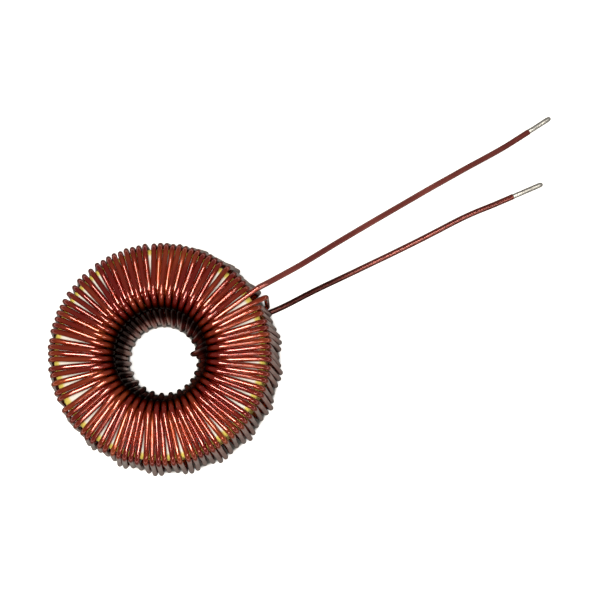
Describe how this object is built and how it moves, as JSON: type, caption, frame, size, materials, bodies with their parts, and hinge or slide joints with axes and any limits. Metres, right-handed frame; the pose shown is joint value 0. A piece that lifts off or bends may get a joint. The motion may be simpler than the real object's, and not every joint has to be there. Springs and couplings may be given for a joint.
{
  "type": "toroidal inductor",
  "caption": "Ring-shaped power inductor: a painted iron powder toroid wound all round with enamelled copper wire, with two long leads stripped and tinned at their ends.",
  "frame": {"origin": "on the ring's axis, in the plane that the winding rests on", "axes": "+Z along the ring's axis, away from the table; +X the way the two leads run"},
  "size_m": [0.0731, 0.0293, 0.0139],
  "materials": {
    "core_paint": "yellow paint with one white face, satin",
    "enamelled_wire": "clear red-brown enamel over copper, glossy",
    "tinned_copper": "solder-dipped, satin"
  },
  "bodies": {
    "root": {"core": "core_paint", "winding": "enamelled_wire", "lead_top": "enamelled_wire", "lead_bottom": "enamelled_wire", "tinned_end_top": "tinned_copper", "tinned_end_bottom": "tinned_copper"}
  },
  "joints": []
}
